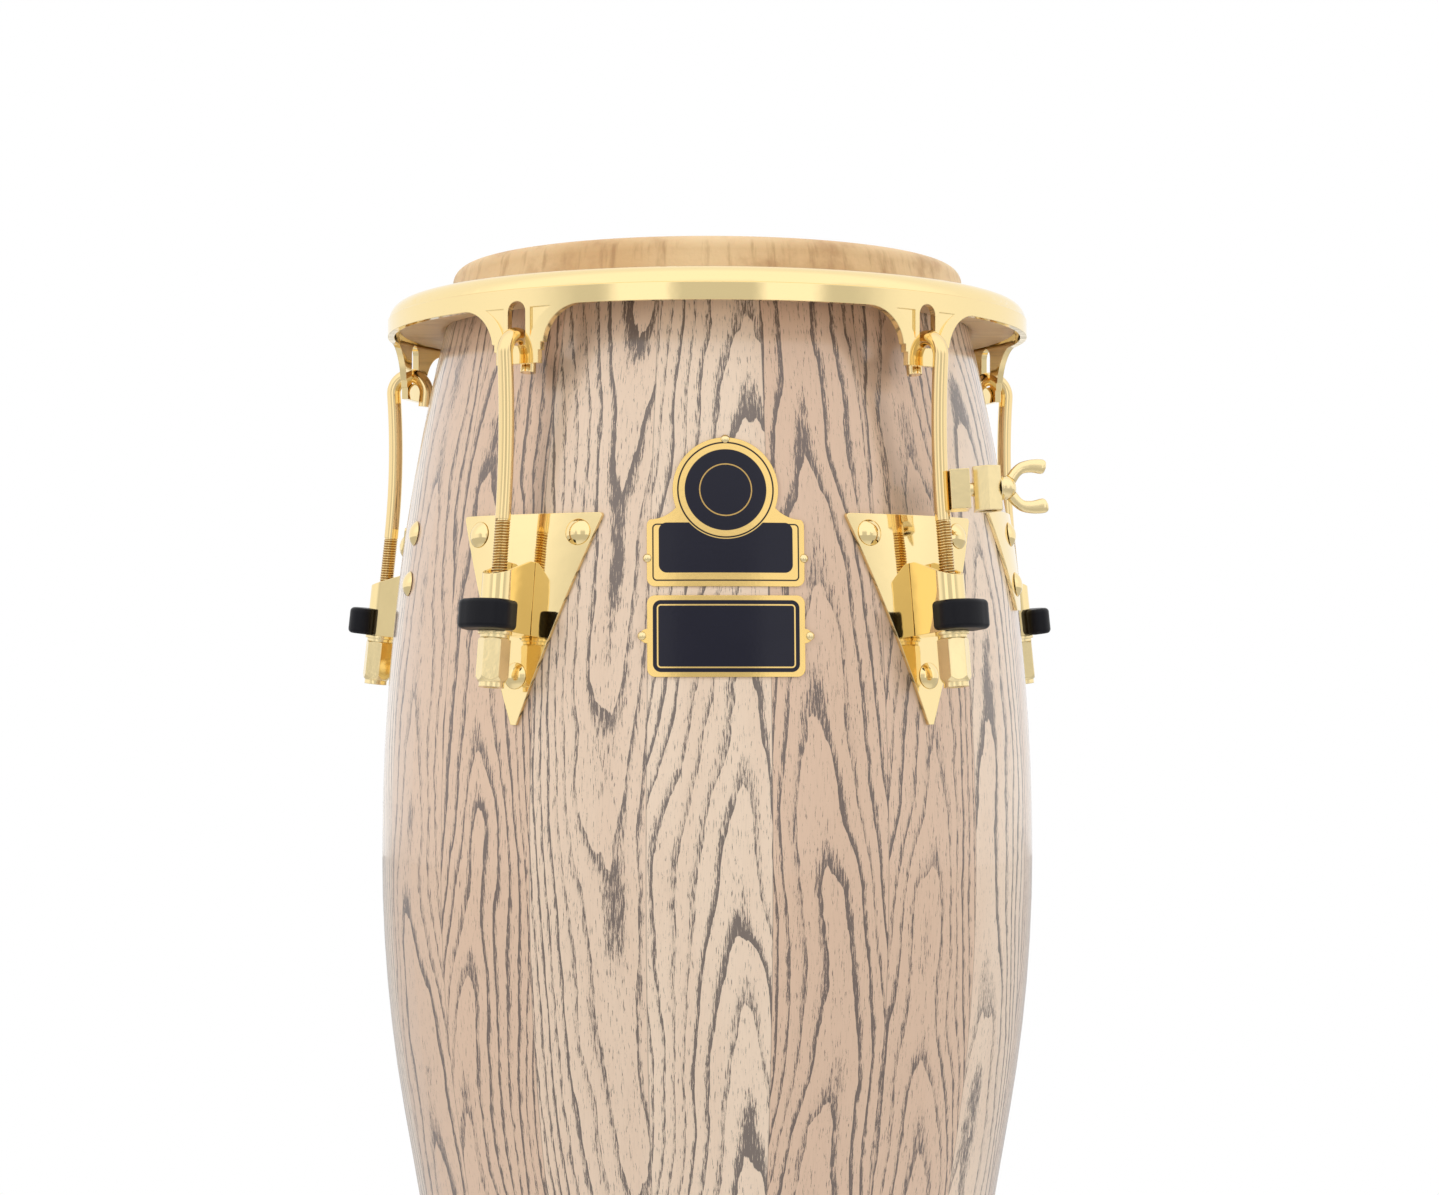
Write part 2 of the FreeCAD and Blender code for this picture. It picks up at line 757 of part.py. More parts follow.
def drill_sheet(body, name, holes):
    """Bolt holes through a sheet, at (across, height) seen along the radius."""
    sketch = new_sketch(body, name, "YZ_Plane")
    for across, height in holes:
        draw_circle(sketch, across, height, "bolt_shank + 2 * sheet_hole_clearance")
    return pocket(body, sketch, "2 * belly_radius", along=True)


def corner_edges(sheet_thickness, *places):
    """Tests for the short edges through a sheet near the given (y, z) places."""

    def chosen(edge):
        middle = edge.CenterOfMass
        near = any(math.hypot(middle.y - y, middle.z - z) < 2.5 for y, z in places)
        return near and edge.Length < 1.6 * sheet_thickness

    return chosen


def build_lug_plate(lug):
    plate = new_body(f"lug_plate_{lug}", around(lug_azimuth(lug)))
    low, high = "plate_tip", "plate_top"
    curved_sheet(plate, low, high, PLATE_IN, PLATE_OUT, "plate_half_width")
    triangle = [
        ("-plate_tip_half", low),
        ("plate_tip_half", low),
        ("plate_half_width", high),
        ("-plate_half_width", high),
    ]
    trim(plate, triangle, "plate_half_width", low, high)
    holes = [("-bolt_spread", "upper_bolt_height"), ("bolt_spread", "upper_bolt_height")]
    holes.append(("0", "lower_bolt_height"))
    cut = drill_sheet(plate, "bolt_holes", holes)
    wide, top = value("plate_half_width"), value("plate_top")
    tops = corner_edges(value("plate_thickness"), (wide, top), (-wide, top))
    plate.Tip = fillet(plate, cut, "plate_corner", tops)
    nodes.append(plate)


def build_cradle(lug):
    """U-shaped pressing welded to the plate: side walls, round front and a shelf for the rod."""
    cradle = new_body(f"lug_cradle_{lug}", lug_frame(lug))
    back = "(0.05 - rod_standoff)"
    half = "(cradle_width / 2)"
    inner = f"({half} - cradle_sheet)"
    walls = [
        (back, f"-{half}"),
        ("0", f"-{half}"),
        (half, "0", half, "left"),
        ("0", half, half, "left"),
        (back, half),
    ]
    inside = [
        (back, inner),
        ("0", inner),
        (inner, "0", inner, "right"),
        ("0", f"-{inner}", inner, "right"),
        (back, f"-{inner}"),
    ]
    pad(cradle, outline(cradle, "walls", "XY_Plane", walls + inside), "cradle_rise", "cradle_below")
    shelf = outline(cradle, "shelf", "XY_Plane", walls, "-cradle_below")
    pad(cradle, shelf, "shelf_thickness")
    slant = [
        (f"{back} + 3", "cradle_rise"),
        (f"{half} + 1", "cradle_front_rise"),
        (f"{half} + 1", "cradle_rise + 2"),
        (f"{back} + 3", "cradle_rise + 2"),
    ]
    pocket(cradle, outline(cradle, "slant", "XZ_Plane", slant), "2 * cradle_width", symmetric=True)
    hole = circle(cradle, "hole", "XY_Plane", "shelf_hole")
    pocket(cradle, hole, "cradle_below + 1")
    nodes.append(cradle)


def build_protector(lug):
    """Rubber bumper clipped round the front of the cradle."""
    protector = new_body(f"shell_protector_{lug}", lug_frame(lug))
    inner = "(cradle_width / 2 + seat_gap)"
    mouth = f"sqrt({inner}^2 - protector_back^2)"
    wide, back, front = "protector_half_width", "protector_back", "protector_front"
    plan = [
        (back, f"-{mouth}"),
        (back, f"-{wide}"),
        (f"{front} - 7", f"-{wide}"),
        (front, f"7 - {wide}", "8", "left"),
        (front, f"{wide} - 7", "22", "left"),
        (f"{front} - 7", wide, "8", "left"),
        (back, wide),
        (back, mouth),
        (inner, "0", inner, "right"),
    ]
    plan[0] = (*plan[0], inner, "right")
    pad(protector, outline(protector, "plan", "XY_Plane", plan, "-cradle_below"), "protector_height")
    nodes.append(protector)


def build_seat_washer(lug):
    washer = new_body(f"seat_washer_{lug}", lug_frame(lug))
    top = "(-cradle_below - seat_gap)"
    bottom = f"({top} - collar_height)"
    bore = "(shelf_hole / 2 - 0.1)"
    section = [
        (bore, bottom),
        ("collar_radius - 1.1", bottom),
        ("collar_radius - 1.1", f"{bottom} + 1.8"),
        ("collar_radius", f"{bottom} + 1.8"),
        ("collar_radius", top),
        (bore, top),
    ]
    revolve(washer, outline(washer, "section", "XZ_Plane", section))
    nodes.append(washer)


def build_nut(lug):
    """Long hexagon nut with its lower corners turned to a cone and a short round nose."""
    nut = new_body(f"tuning_nut_{lug}", lug_frame(lug))
    top = "(-cradle_below - collar_height - 2 * seat_gap)"
    end = f"({top} - nut_length)"
    corner = f"(nut_width / {math.sqrt(3)})"
    hexagon = [
        (corner, "0"),
        (f"{corner} / 2", "nut_width / 2"),
        (f"-{corner} / 2", "nut_width / 2"),
        (f"-{corner}", "0"),
        (f"-{corner} / 2", "-nut_width / 2"),
        (f"{corner} / 2", "-nut_width / 2"),
    ]
    pad(nut, outline(nut, "hexagon", "XY_Plane", hexagon, end), "nut_length")
    nose = [
        ("nut_nose_radius", end),
        (f"{corner} + 1", end),
        (f"{corner} + 1", f"{end} + nut_nose + 4"),
        ("nut_width / 2 - 0.2", f"{end} + nut_nose"),
        ("nut_nose_radius", f"{end} + nut_nose - 0.5"),
    ]
    groove(nut, outline(nut, "nose", "XZ_Plane", nose))
    brow = [
        ("nut_width / 2", top),
        (f"{corner} + 1", f"{top} - 1.2"),
        (f"{corner} + 1", top),
    ]
    groove(nut, outline(nut, "brow", "XZ_Plane", brow))
    pocket(nut, circle(nut, "bore", "XY_Plane", "nut_bore"), "100")
    nodes.append(nut)


def build_fasteners():
    """Round-headed bolts through the shell, with a washer and a nut on each inside the drum."""
    bolt = new_body("bolt_pattern")
    dome = f"(((bolt_head / 2)^2 + bolt_dome^2) / (2 * bolt_dome))"
    tail = "(shell_wall + washer_gap + washer_thickness + bolt_nut_height + 1.5)"
    section = [
        ("0", f"-{tail}"),
        ("bolt_shank / 2", f"-{tail}"),
        ("bolt_shank / 2", "0"),
        ("bolt_head / 2", "0"),
        ("0", "bolt_dome", dome, "left"),
    ]
    revolve(bolt, outline(bolt, "section", "XZ_Plane", section))
    washer = new_body("washer_pattern")
    wide = circle(washer, "plan", "XY_Plane", "washer_width", offset="-shell_wall - washer_gap - washer_thickness")
    draw_circle(wide, "0", "0", "bolt_shank + 2 * bolt_clearance")
    pad(washer, wide, "washer_thickness")
    nut = new_body("nut_pattern")
    corner = f"(bolt_nut_width / {math.sqrt(3)})"
    hexagon = [
        (corner, "0"),
        (f"{corner} / 2", "bolt_nut_width / 2"),
        (f"-{corner} / 2", "bolt_nut_width / 2"),
        (f"-{corner}", "0"),
        (f"-{corner} / 2", "-bolt_nut_width / 2"),
        (f"{corner} / 2", "-bolt_nut_width / 2"),
    ]
    level = "-shell_wall - washer_gap - washer_thickness - bolt_nut_height"
    flats = outline(nut, "plan", "XY_Plane", hexagon, level)
    draw_circle(flats, "0", "0", "bolt_shank + 0.04")
    pad(nut, flats, "bolt_nut_height - bolt_nut_gap")
    on_plate = shift(0, 0, value(PLATE_OUT) + 0.25)
    on_wood = shift(0, 0, 0.35)
    side = side_stud_frames()
    lugs = lug_stud_frames()
    seats = [frame * on_plate for frame in side[:2]] + [frame * on_wood for frame in side[2:]]
    nodes.append(group("lug_bolts", bolt, [frame * on_plate for frame in lugs]))
    nodes.append(group("lug_bolt_washers", washer, lugs))
    nodes.append(group("lug_bolt_nuts", nut, lugs))
    nodes.append(group("side_bolts", bolt, seats))
    nodes.append(group("side_bolt_washers", washer, side))
    nodes.append(group("side_bolt_nuts", nut, side))


def build_side_bracket():
    """Tapered plate under the pair of bolts on one side."""
    bracket = new_body("side_bracket_plate", around(value("side_azimuth")))
    low, high = "bracket_bottom", "bracket_top"
    curved_sheet(bracket, low, high, PLATE_IN, PLATE_OUT, "bracket_half_top")
    taper = [
        ("-bracket_half_bottom", low),
        ("bracket_half_bottom", low),
        ("bracket_half_top", high),
        ("-bracket_half_top", high),
    ]
    trim(bracket, taper, "bracket_half_top", low, high)
    drill_sheet(bracket, "bolt_holes", [("0", "side_bolt_upper"), ("0", "side_bolt_lower")])
    nodes.append(bracket)


# ---------------------------------------------------------------- accessory clamp on one rod


def clamp_frame():
    """Origin on the rod's bowed shank, +Z along it, +X along the clamp's arm."""
    turn = f"asin(clamp_rise / {BOW})"
    seat = shift(value(f"{BOW} * (1 - cos({turn}))"), 0, value("thread_rise + clamp_rise"))
    swing = Placement(Vector(0, 0, 0), Rotation(Vector(0, 0, 1), value("clamp_swing")))
    return lug_frame(CLAMPED_LUG) * seat * tilt(value(turn)) * swing


BARREL_X = "(jaw_reach + stub_length + seat_gap + barrel_width / 2)"
BARREL_OUT = f"({BARREL_X} + barrel_width / 2)"


def build_clamp():
    jaw = new_body("clamp_jaw", clamp_frame())
    grip = "(rod_diameter / 2 + clamp_clearance)"
    plan = [
        (grip, "-jaw_depth"),
        ("jaw_reach", "-jaw_depth"),
        ("jaw_reach", "jaw_depth"),
        (f"-{grip} + 0.6", "jaw_depth"),
        (f"-{grip} + 0.6", grip),
        ("0", grip),
        (grip, "0", grip, "right"),
    ]
    pad(jaw, outline(jaw, "plan", "XY_Plane", plan), "jaw_height", symmetric=True)
    pad(jaw, circle(jaw, "stub", "YZ_Plane", "stub_diameter", offset="jaw_reach"), "stub_length")
    barrel = new_body("clamp_barrel", clamp_frame())
    half = "(barrel_width / 2)"
    corner = f"(barrel_width / {math.sqrt(3)})"
    hexagon = [
        (f"{BARREL_X} - {half}", f"-{corner} / 2"),
        (BARREL_X, f"-{corner}"),
        (f"{BARREL_X} + {half}", f"-{corner} / 2"),
        (f"{BARREL_X} + {half}", f"{corner} / 2"),
        (BARREL_X, corner),
        (f"{BARREL_X} - {half}", f"{corner} / 2"),
    ]
    pad(barrel, outline(barrel, "plan", "XY_Plane", hexagon), "barrel_height", symmetric=True)
    bore = circle(barrel, "bore", "XY_Plane", "barrel_bore", BARREL_X)
    pocket(barrel, bore, "barrel_height", symmetric=True)
    tapped = circle(
        barrel, "tapped", "YZ_Plane", "screw_diameter + 2 * screw_clearance", offset=BARREL_X
    )
    pocket(barrel, tapped, "barrel_width", along=True)
    nodes.extend([jaw, barrel])


def build_wing_screw():
    """Thumb screw: plain end in the barrel's wall, a round collar and two curved wings."""
    wing = new_body("wing_screw", clamp_frame())
    start = f"({BARREL_X} + barrel_bore / 2 + 0.2)"
    collar = f"({BARREL_OUT} + seat_gap)"
    pad(wing, circle(wing, "tip", "YZ_Plane", "screw_diameter", offset=start), f"{collar} - {start} + 1")
    pad(wing, circle(wing, "collar", "YZ_Plane", "wing_collar", offset=collar), "wing_collar_length")
    root = f"({collar} + wing_collar_length)"
    half = "(wing_spread / 2)"
    wings = [
        (f"{root} - 1", "-4"),
        (f"{root} + 0.24 * wing_length", "-6"),
        (f"{root} + 0.6 * wing_length", f"-{half}", "14", "right"),
        (f"{root} + wing_length", f"-{half} + 1", "30", "left"),
        (f"{root} + wing_length", f"-{half} + 5.5", "2.4", "left"),
        (f"{root} + 0.62 * wing_length", f"-{half} + 6.2"),
        (f"{root} + 0.4 * wing_length", "0", "7", "right"),
        (f"{root} + 0.62 * wing_length", f"{half} - 6.2", "7", "right"),
        (f"{root} + wing_length", f"{half} - 5.5"),
        (f"{root} + wing_length", f"{half} - 1", "2.4", "left"),
        (f"{root} + 0.6 * wing_length", half, "30", "left"),
        (f"{root} + 0.24 * wing_length", "6", "14", "right"),
        (f"{root} - 1", "4"),
    ]
    pad(wing, outline(wing, "wings", "XZ_Plane", wings), "wing_thickness", symmetric=True)
    nodes.append(wing)


# ---------------------------------------------------------------- badges

BADGE_OUT = "(seat_gap + badge_thickness)"


def build_badges():
    """Two bare nameplates: a round-topped one over a plain one with an ear at each side."""
    upper = new_body("upper_sheet", around(0))
    low, wide, corner = "upper_badge_bottom", "badge_half_width", "badge_corner"
    curved_sheet(upper, low, UPPER_BADGE_TOP, PLATE_IN, BADGE_OUT, wide)
    shoulder = f"({low} + upper_badge_shoulder)"
    centre = f"({low} + badge_circle_rise)"
    neck_y = "(0.94 * badge_circle_radius)"
    neck_z = f"({centre} - sqrt(badge_circle_radius^2 - {neck_y}^2))"
    plate = [
        (f"-{wide} + {corner}", low),
        (f"{wide} - {corner}", low),
        (wide, f"{low} + {corner}", corner, "left"),
        (wide, f"{shoulder} - {corner}"),
        (f"{wide} - 1.6", f"{shoulder} - 0.6", corner, "left"),
        (neck_y, neck_z, "18", "right"),
        ("0", f"{centre} + badge_circle_radius", "badge_circle_radius", "left"),
        (f"-{neck_y}", neck_z, "badge_circle_radius", "left"),
        (f"-{wide} + 1.6", f"{shoulder} - 0.6", "18", "right"),
        (f"-{wide}", f"{shoulder} - {corner}", corner, "left"),
        (f"-{wide}", f"{low} + {corner}"),
    ]
    plate[0] = (*plate[0], corner, "left")
    trim(upper, plate, wide, low, UPPER_BADGE_TOP)
    lower = new_body("lower_sheet", around(0))
    low, high = "lower_badge_bottom", "lower_badge_top"
    reach = f"({wide} + badge_ear)"
    curved_sheet(lower, low, high, PLATE_IN, BADGE_OUT, reach)
    middle = LOWER_BADGE_MIDDLE
    right = [
        (f"{wide} - {corner}", low),
        (wide, f"{low} + {corner}", corner, "left"),
        (wide, f"{middle} - badge_ear"),
        (reach, middle, "badge_ear", "left"),
        (wide, f"{middle} + badge_ear", "badge_ear", "left"),
        (wide, f"{high} - {corner}"),
        (f"{wide} - {corner}", high, corner, "left"),
    ]
    left = [(f"-({across})", f"{low} + {high} - ({height})", *arc) for across, height, *arc in right]
    trim(lower, right + left, reach, low, high)
    screw = new_body("badge_screw_pattern")
    dome = "(((badge_screw_head / 2)^2 + badge_screw_dome^2) / (2 * badge_screw_dome))"
    section = [
        ("0", "-badge_screw_length + 0.5"),
        ("badge_screw_shank / 2", "-badge_screw_length + 2.5"),
        ("badge_screw_shank / 2", "0"),
        ("badge_screw_head / 2", "0"),
        ("0", "badge_screw_dome", dome, "left"),
    ]
    revolve(screw, outline(screw, "section", "XZ_Plane", section))
    on_badge = shift(0, 0, value(BADGE_OUT) + 0.02)
    frames = [frame * on_badge for frame in badge_screw_frames()]
    nodes.append(minus("upper_badge", upper, screw_holes("upper_screw_hole")))
    nodes.append(minus("lower_badge", lower, screw_holes("lower_screw_hole")))
    nodes.append(group("badge_screws", screw, frames))


# ---------------------------------------------------------------- build, check and write

build_shell()
build_inner_hoops()
build_foot()
build_head()
build_flesh_hoop()
build_rim()
for lug in range(1, LUGS + 1):
    build_rod(lug)
    build_lug_plate(lug)
    build_cradle(lug)
    build_protector(lug)
    build_seat_washer(lug)
    build_nut(lug)
build_fasteners()
build_side_bracket()
build_clamp()
build_wing_screw()
build_badges()
doc.recompute()

for item in doc.Objects:
    if "Invalid" in item.State or "Error" in item.State:
        raise RuntimeError(f"{item.Name} failed: {item.State}")
for node in nodes:
    if node.Shape.isNull() or not node.Shape.isValid():
        raise RuntimeError(f"{node.Label} has no valid shape")

os.makedirs("parts", exist_ok=True)
for node in nodes:
    node.Shape.exportStep(f"parts/{node.Label}.step")
print(f"{len(nodes)} nodes, {sum(len(node.Shape.Solids) for node in nodes)} solids")
print(f"rod bow radius {value(BOW):.0f}, rod axis at the lug {value(ROD_RADIUS):.1f}, foot {value(below('0')):.1f}")
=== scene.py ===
"""Looks for the conga drum: materials, the head's skin, rubber bumpers, rod threads, light and camera."""

import json
import math

import bpy
from mathutils import Matrix, Vector


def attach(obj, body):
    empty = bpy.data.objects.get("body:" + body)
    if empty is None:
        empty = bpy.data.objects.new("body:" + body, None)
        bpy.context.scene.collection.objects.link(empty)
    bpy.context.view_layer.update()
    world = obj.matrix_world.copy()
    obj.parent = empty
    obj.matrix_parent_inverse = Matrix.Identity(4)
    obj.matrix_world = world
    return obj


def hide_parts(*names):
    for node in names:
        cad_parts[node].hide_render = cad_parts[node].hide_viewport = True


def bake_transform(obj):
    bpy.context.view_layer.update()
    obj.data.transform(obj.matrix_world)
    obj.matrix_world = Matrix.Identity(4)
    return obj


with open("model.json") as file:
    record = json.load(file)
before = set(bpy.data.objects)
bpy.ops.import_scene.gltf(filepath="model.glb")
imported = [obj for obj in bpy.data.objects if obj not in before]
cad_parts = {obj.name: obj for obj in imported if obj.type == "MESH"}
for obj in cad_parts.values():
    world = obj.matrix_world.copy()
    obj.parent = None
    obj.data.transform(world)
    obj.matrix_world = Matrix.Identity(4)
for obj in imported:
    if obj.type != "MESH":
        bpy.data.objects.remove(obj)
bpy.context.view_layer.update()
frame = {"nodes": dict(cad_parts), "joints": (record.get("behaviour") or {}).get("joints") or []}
nodes = frame["nodes"]
JOINTS = {joint["name"]: joint for joint in frame["joints"]}
LUGS = range(1, 6)
MM = 0.001

# the shell, in mm and degrees
SHELL_TOP, TOP_RADIUS = 759.6, 137.2
BELLY_HEIGHT, BELLY_RADIUS = 440.0, 180.0
EDGE_ROUND = 6.0
STAVES, FIRST_SEAM = 18, 7.2

# ---------------------------------------------------------------- shader arithmetic


class Graph:
    """One material's node tree, written as arithmetic on sockets and numbers."""

    def __init__(self, name):
        self.material = bpy.data.materials.new(name)
        self.material.use_nodes = True
        self.tree = self.material.node_tree
        self.tree.nodes.clear()
        self.out = self.tree.nodes.new("ShaderNodeOutputMaterial")
        self.surface = self.tree.nodes.new("ShaderNodeBsdfPrincipled")
        self.tree.links.new(self.surface.outputs[0], self.out.inputs[0])

    def put(self, socket, value):
        if isinstance(value, bpy.types.NodeSocket):
            self.tree.links.new(value, socket)
        elif isinstance(value, tuple) and len(value) == 3 and socket.type == "RGBA":
            socket.default_value = (*value, 1)
        else:
            socket.default_value = value

    def add(self, kind, inputs, output=0, **settings):
        node = self.tree.nodes.new("ShaderNode" + kind)
        for key, value in settings.items():
            setattr(node, key, value)
        for key, value in inputs.items():
            self.put(node.inputs[key], value)
        return node.outputs[output]

    def math(self, operation, *values):
        return self.add("Math", dict(enumerate(values)), operation=operation)

    def sum(self, a, b):
        return self.math("ADD", a, b)

    def minus(self, a, b):
        return self.math("SUBTRACT", a, b)

    def times(self, a, b):
        return self.math("MULTIPLY", a, b)

    def step(self, value, low, high, start=0.0, end=1.0):
        """start below low, end above high, smooth between."""
        return self.add("MapRange", {"Value": value, "From Min": low, "From Max": high, "To Min": start,
                                     "To Max": end}, interpolation_type="SMOOTHSTEP")

    def vector(self, x, y, z):
        return self.add("CombineXYZ", {0: x, 1: y, 2: z})

    def noise(self, vector, scale, detail=3.0, rough=0.5):
        return self.add("TexNoise", {"Vector": vector, "Scale": scale, "Detail": detail, "Roughness": rough},
                        normalize=True)

    def blend(self, share, a, b, mode="MIX"):
        node = self.tree.nodes.new("ShaderNodeMix")
        node.data_type = "RGBA"
        node.blend_type = mode
        self.put(node.inputs[0], share)
        self.put(node.inputs[6], a)
        self.put(node.inputs[7], b)
        return node.outputs[2]

    def place(self):
        """x, y, z in the row frame, in metres."""
        place = self.add("TexCoord", {}, output=3)
        split = self.tree.nodes.new("ShaderNodeSeparateXYZ")
        self.tree.links.new(place, split.inputs[0])
        return place, split.outputs[0], split.outputs[1], split.outputs[2]

    def bump(self, height, distance, strength=1.0, normal=None):
        inputs = {"Height": height, "Distance": distance, "Strength": strength}
        if normal is not None:
            inputs["Normal"] = normal
        return self.add("Bump", inputs)

    def set(self, **values):
        for key, value in values.items():
            self.put(self.surface.inputs[key.replace("_", " ")], value)
        return self


def srgb(red, green, blue):
    """A colour as seen on screen, 0 to 255, as the shader's linear values."""
    def linear(level):
        level = level / 255
        return level / 12.92 if level <= 0.04045 else ((level + 0.055) / 1.055) ** 2.4
    return (linear(red), linear(green), linear(blue))


# ---------------------------------------------------------------- materials


def metal(name, colour, rough, waves, wave_scale, edge):
    """Plated metal: waves is the ripples' depth and edge the rounding of edges, in metres."""
    g = Graph(name)
    place = g.place()[0]
    soft = g.add("Bevel", {"Radius": edge}, samples=6)
    ripple = g.noise(place, wave_scale, 2.0)
    cloud = g.noise(place, 45.0, 3.0)
    g.set(Base_Color=colour, Metallic=1.0, Roughness=g.step(cloud, 0.3, 0.7, rough * 0.8, rough * 1.25),
          Normal=g.bump(ripple, waves, normal=soft))
    return g


gold_plate = metal("gold_plate", srgb(252, 228, 170), 0.06, 0.00008, 70.0, 0.0005).material
gold_rod = metal("gold_rod", srgb(248, 221, 164), 0.1, 0.00006, 120.0, 0.0003).material
gold_casting = metal("gold_casting", srgb(252, 230, 176), 0.2, 0.00012, 260.0, 0.0006).material
inner_steel = metal("inner_steel", srgb(190, 190, 192), 0.3, 0.00005, 300.0, 0.0003).material


def rubber():
    g = Graph("black_rubber")
    place = g.place()[0]
    g.set(Base_Color=srgb(13, 13, 19), Roughness=0.4, Specular_IOR_Level=0.2,
          Normal=g.bump(g.noise(place, 900.0, 2.0), 0.00006))
    return g.material


black_rubber = rubber()


def half_stave(g, radius):
    """Half a stave's width in mm at a radius in metres."""
    return g.times(radius, 1000 * math.pi / STAVES)


def ash(lacquered):
    """Flat-sawn ash: each stave its own tint and grain, with dark pores along the ring lines.

    u and h run across and up the stave in mm. The whole numbers of field are the ring lines, which arch over
    the stave's middle, and far keeps one stave's noise apart from the next one's.
    """
    g = Graph("ash_wood" if lacquered else "hoop_wood")
    place, x, y, z = g.place()
    azimuth = g.math("ARCTAN2", x, g.times(y, -1.0))
    turns = g.minus(g.times(azimuth, STAVES / (2 * math.pi)), FIRST_SEAM * STAVES / 360)
    index = g.math("FLOOR", turns)
    across = g.minus(g.math("FRACT", turns), 0.5)
    radius = g.math("SQRT", g.sum(g.times(x, x), g.times(y, y)))
    u = g.times(g.times(across, radius), 1000 * 2 * math.pi / STAVES)
    h = g.times(z, 1000.0)

    def chance(shift):
        return g.add("TexWhiteNoise", {"W": g.sum(index, shift)}, noise_dimensions="1D")

    tint, seed, slope, flat, where = (chance(k) for k in (3.3, 17.7, 41.1, 63.9, 88.2))
    far = g.times(seed, 4000.0)
    sway = g.noise(g.vector(g.times(u, 0.006), g.times(h, 0.004), far), 1.0, 1.0)
    ripple = g.noise(g.vector(g.times(u, 0.028), g.times(h, 0.010), far), 1.0, 1.0)
    wiggle = g.noise(g.vector(g.times(u, 0.16), g.times(h, 0.05), far), 1.0, 2.0)
    middle = g.sum(g.times(g.minus(where, 0.5), 36.0), g.times(g.minus(sway, 0.5), 44.0))
    side = g.math("ABSOLUTE", g.minus(u, middle))
    arch = g.times(g.math("POWER", side, 1.6), g.sum(g.times(seed, 0.008), 0.0095))
    upward = g.minus(g.times(g.math("GREATER_THAN", slope, 0.45), 2.0), 1.0)
    climb = g.times(h, g.times(upward, g.sum(g.times(flat, 0.012), 0.0065)))
    bend = g.sum(g.times(g.minus(ripple, 0.5), 2.6), g.times(g.minus(wiggle, 0.5), 0.42))
    field = g.sum(g.sum(arch, climb), g.sum(bend, g.times(seed, 9.0)))
    ring = g.math("FRACT", field)
    early = g.times(g.math("SUBTRACT", 1.0, g.step(ring, 0.02, 0.5)), g.step(ring, 0.0, 0.03))
    band_here = g.noise(g.vector(g.times(g.math("FLOOR", field), 7.3), g.times(u, 0.02), far), 1.0, 0.0)
    streak = g.noise(g.vector(g.times(u, 1.7), g.times(h, 0.14), far), 1.0, 4.0, 0.72)
    hair = g.noise(g.vector(g.times(u, 3.2), g.times(h, 0.10), far), 1.0, 2.0, 0.6)
    strength = g.times(early, g.step(band_here, 0.35, 0.6, 0.3, 0.6))
    pore = g.step(g.sum(g.times(g.minus(streak, 0.5), 2.3), strength), 0.2, 0.38)
    fine = g.step(hair, 0.5, 0.75)
    cloud = g.noise(g.vector(g.times(u, 0.05), g.times(h, 0.008), far), 1.0, 3.0)
    if lacquered:
        pale, dusk, dark = srgb(230, 207, 183), srgb(214, 183, 157), srgb(68, 58, 58)
    else:
        pale, dusk, dark = srgb(196, 164, 126), srgb(170, 134, 98), srgb(120, 90, 62)
    base = g.blend(g.step(tint, 0.1, 0.9, 0.0, 1.0), pale, dusk)
    base = g.blend(g.step(cloud, 0.35, 0.75, 0.0, 0.3), base, dusk)
    base = g.blend(g.times(early, 0.12), base, dark)
    base = g.blend(g.times(fine, 0.1), base, dark)
    base = g.blend(g.times(pore, 0.84), base, dark)
    from_seam = g.minus(half_stave(g, radius), g.math("ABSOLUTE", u))
    seam = g.math("SUBTRACT", 1.0, g.step(from_seam, 0.05, 0.5))
    base = g.blend(g.times(seam, 0.4), base, dark)
    height = g.sum(g.times(pore, -1.0), g.times(fine, -0.25))
    g.set(Base_Color=base, Roughness=0.42 if lacquered else 0.7, Normal=g.bump(height, 0.00004))
    if lacquered:
        smooth = g.bump(g.noise(place, 16.0, 1.0), 0.0004)
        g.set(Coat_Weight=1.0, Coat_Roughness=0.12, Coat_IOR=1.45, Coat_Normal=smooth)
    return g.material


ash_wood = ash(True)
hoop_wood = ash(False)


def hide():
    """Rawhide: blotched on top, with pulled streaks down the collar."""
    g = Graph("rawhide")
    place, x, y, z = g.place()
    blotch = g.noise(place, 26.0, 5.0, 0.62)
    wide = g.noise(place, 9.0, 2.0)
    pull = g.noise(g.vector(g.times(g.math("ARCTAN2", x, y), 26.0), g.times(z, 30.0), 2.0), 1.0, 4.0, 0.6)
    base = g.blend(g.step(wide, 0.3, 0.7), srgb(226, 196, 152), srgb(208, 170, 122))
    base = g.blend(g.step(blotch, 0.5, 0.72, 0.0, 0.65), base, srgb(170, 128, 88))
    side = g.step(z, 0.7606, 0.757)
    base = g.blend(g.times(side, g.step(pull, 0.5, 0.75, 0.0, 0.5)), base, srgb(150, 108, 70))
    g.set(Base_Color=base, Roughness=0.5, Specular_IOR_Level=0.4, Subsurface_Weight=0.05,
          Subsurface_Scale=0.002, Normal=g.bump(g.sum(blotch, g.noise(place, 260.0, 3.0)), 0.0003))
    return g.material


rawhide = hide()

NAVY = srgb(18, 18, 34)
LINE = srgb(30, 24, 20)
BRASS = srgb(240, 205, 130)


